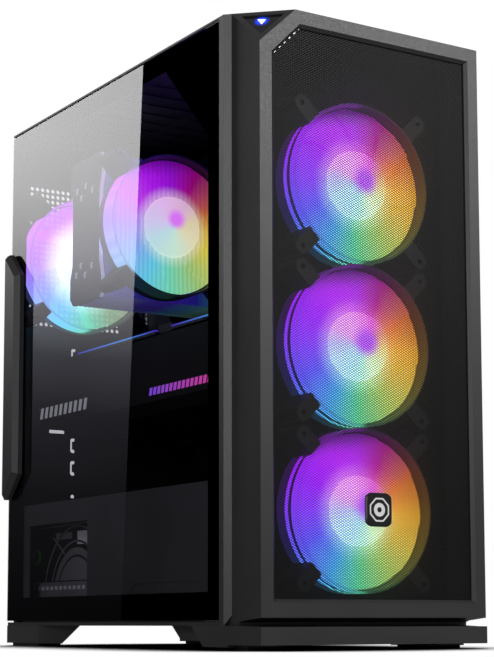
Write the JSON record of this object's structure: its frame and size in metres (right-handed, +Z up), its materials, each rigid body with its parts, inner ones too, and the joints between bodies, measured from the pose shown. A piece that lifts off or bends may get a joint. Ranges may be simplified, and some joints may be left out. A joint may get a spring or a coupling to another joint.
{
  "type": "desktop computer tower",
  "caption": "Black mid tower computer: mesh front over lit fans, glass side door, working parts inside, spinning fans and sprung buttons.",
  "frame": {"origin": "middle of the footprint, on the surface that the tower stands on", "axes": "+Z up, -Y towards the mesh front, -X towards the glass door"},
  "size_m": [0.2144, 0.4032, 0.453],
  "materials": {
    "chassis_steel": "powder-coated steel sheet, fine grain, satin",
    "screw_steel": "dark zinc plated screws and clips",
    "front_plastic": "moulded ABS, fine matt texture",
    "front_mesh": "perforated steel, matt black",
    "badge_plate": "small satin plate, plain",
    "smoked_plastic": "smoked polycarbonate, polished",
    "light_guide": "milky light guide, lit when running",
    "circuit_board": "black solder mask over glass laminate",
    "pad_rubber": "soft pad, matt",
    "smoked_glass": "tempered tinted glass with a black printed border",
    "cooler_shell": "anodised and painted aluminium, dark satin",
    "port_metal": "plated socket shells",
    "socket_plastic": "moulded nylon",
    "plated_metal": "nickel plated",
    "cooler_fins": "thin dark-coated fins",
    "card_plastic": "moulded shroud, satin",
    "supply_steel": "powder-coated box",
    "fan_plastic": "glass-filled nylon",
    "lit_plastic": "milky rotor, lit from its hub when running",
    "potted_parts": "coils, capacitors and boards in potting resin",
    "drive_metal": "cast drive body",
    "filter_plastic": "moulded filter rim and mesh"
  },
  "bodies": {
    "tower": {"badge": "badge_plate", "board_heatsinks": "cooler_shell", "board_sockets": "socket_plastic", "bottom_pan": "chassis_steel", "cooler_base": "plated_metal", "cooler_fan_frame": "fan_plastic", "cooler_top_plate": "cooler_shell", "drive_cage": "chassis_steel", "expansion_slot_frame": "chassis_steel", "fasteners": "screw_steel", "fin_stack": "cooler_fins", "front_fan_1_frame": "fan_plastic", "front_fan_2_frame": "fan_plastic", "front_fan_3_frame": "fan_plastic", "front_fan_plate": "chassis_steel", "front_mesh": "front_mesh", "front_panel_frame": "front_plastic", "front_plinth": "front_plastic", "gpu_backplate": "cooler_shell", "gpu_board": "circuit_board", "gpu_bracket": "plated_metal", "gpu_light_strip": "light_guide", "gpu_shroud": "card_plastic", "hard_drive": "drive_metal", "indicator_board": "circuit_board", "memory_modules": "cooler_shell", "motherboard": "circuit_board", "motherboard_tray": "chassis_steel", "psu_case": "supply_steel", "psu_core": "potted_parts", "psu_grille": "supply_steel", "psu_inlet": "socket_plastic", "psu_shroud": "chassis_steel", "rear_fan_frame": "fan_plastic", "rear_feet": "front_plastic", "rear_io_ports": "port_metal", "rear_panel": "chassis_steel", "right_side_panel": "chassis_steel", "rubber_pads": "pad_rubber", "slot_covers": "chassis_steel", "top_io_ports": "port_metal", "top_pan": "chassis_steel"},
    "door": {"glass_panel": "smoked_glass", "door_hinges": "screw_steel", "door_handle": "front_plastic"},
    "power_button": {"power_button": "smoked_plastic", "power_light": "light_guide"},
    "reset_button": {"reset_button": "front_plastic"},
    "psu_switch": {"psu_switch": "socket_plastic"},
    "top_filter": {"top_filter": "filter_plastic"},
    "psu_filter": {"psu_filter": "filter_plastic"},
    "front_fan_1_rotor": {"front_fan_1_rotor": "lit_plastic"},
    "front_fan_2_rotor": {"front_fan_2_rotor": "lit_plastic"},
    "front_fan_3_rotor": {"front_fan_3_rotor": "lit_plastic"},
    "rear_fan_rotor": {"rear_fan_rotor": "lit_plastic"},
    "cooler_fan_rotor": {"cooler_fan_rotor": "lit_plastic"},
    "gpu_fan_1": {"gpu_fan_rotor_1": "fan_plastic"},
    "gpu_fan_2": {"gpu_fan_rotor_2": "fan_plastic"},
    "gpu_fan_3": {"gpu_fan_rotor_3": "fan_plastic"},
    "psu_fan": {"psu_fan_rotor": "fan_plastic"}
  },
  "joints": [
    {"name": "door_swing", "type": "hinge", "parent": "tower", "child": "door", "pos_m": [-0.09575, -0.1551, 0.235], "axis": [0, 0, 1], "range_deg": [0, 110]},
    {"name": "front_fan_1_spin", "type": "hinge", "parent": "tower", "child": "front_fan_1_rotor", "pos_m": [0.00975, -0.1816, 0.3399], "axis": [0, 1, 0], "continuous": true},
    {"name": "front_fan_2_spin", "type": "hinge", "parent": "tower", "child": "front_fan_2_rotor", "pos_m": [0.00975, -0.1816, 0.2196], "axis": [0, 1, 0], "continuous": true},
    {"name": "front_fan_3_spin", "type": "hinge", "parent": "tower", "child": "front_fan_3_rotor", "pos_m": [0.00975, -0.1816, 0.0993], "axis": [0, 1, 0], "continuous": true},
    {"name": "rear_fan_spin", "type": "hinge", "parent": "tower", "child": "rear_fan_rotor", "pos_m": [-0.03325, 0.1724, 0.338], "axis": [0, 1, 0], "continuous": true},
    {"name": "cooler_fan_spin", "type": "hinge", "parent": "tower", "child": "cooler_fan_rotor", "pos_m": [-0.02725, 0.0284, 0.346], "axis": [0, 1, 0], "continuous": true},
    {"name": "gpu_fan_1_spin", "type": "hinge", "parent": "tower", "child": "gpu_fan_1", "pos_m": [-0.00925, -0.0556, 0.192], "axis": [0, 0, 1], "continuous": true},
    {"name": "gpu_fan_2_spin", "type": "hinge", "parent": "tower", "child": "gpu_fan_2", "pos_m": [-0.00925, 0.0404, 0.192], "axis": [0, 0, 1], "continuous": true},
    {"name": "gpu_fan_3_spin", "type": "hinge", "parent": "tower", "child": "gpu_fan_3", "pos_m": [-0.00925, 0.1364, 0.192], "axis": [0, 0, 1], "continuous": true},
    {"name": "psu_fan_spin", "type": "hinge", "parent": "tower", "child": "psu_fan", "pos_m": [-0.00025, 0.1244, 0.03], "axis": [0, 0, 1], "continuous": true},
    {"name": "power_button_press", "type": "slide", "parent": "tower", "child": "power_button", "axis": [0.5513, 0.5877, -0.5922], "range_m": [0, 0.0015], "stiffness_N_per_m": 400, "springref_m": -0.0005},
    {"name": "reset_button_press", "type": "slide", "parent": "tower", "child": "reset_button", "axis": [0, 0, -1], "range_m": [0, 0.0015], "stiffness_N_per_m": 400, "springref_m": -0.0005},
    {"name": "psu_switch_rock", "type": "hinge", "parent": "tower", "child": "psu_switch", "pos_m": [0.04375, 0.1914, 0.087], "axis": [0, 0, 1], "range_deg": [0, 14]},
    {"name": "top_filter_lift", "type": "slide", "parent": "tower", "child": "top_filter", "axis": [0, 0, 1], "range_m": [0, 0.04]},
    {"name": "psu_filter_slide", "type": "slide", "parent": "tower", "child": "psu_filter", "axis": [0, 1, 0], "range_m": [0, 0.14]}
  ]
}
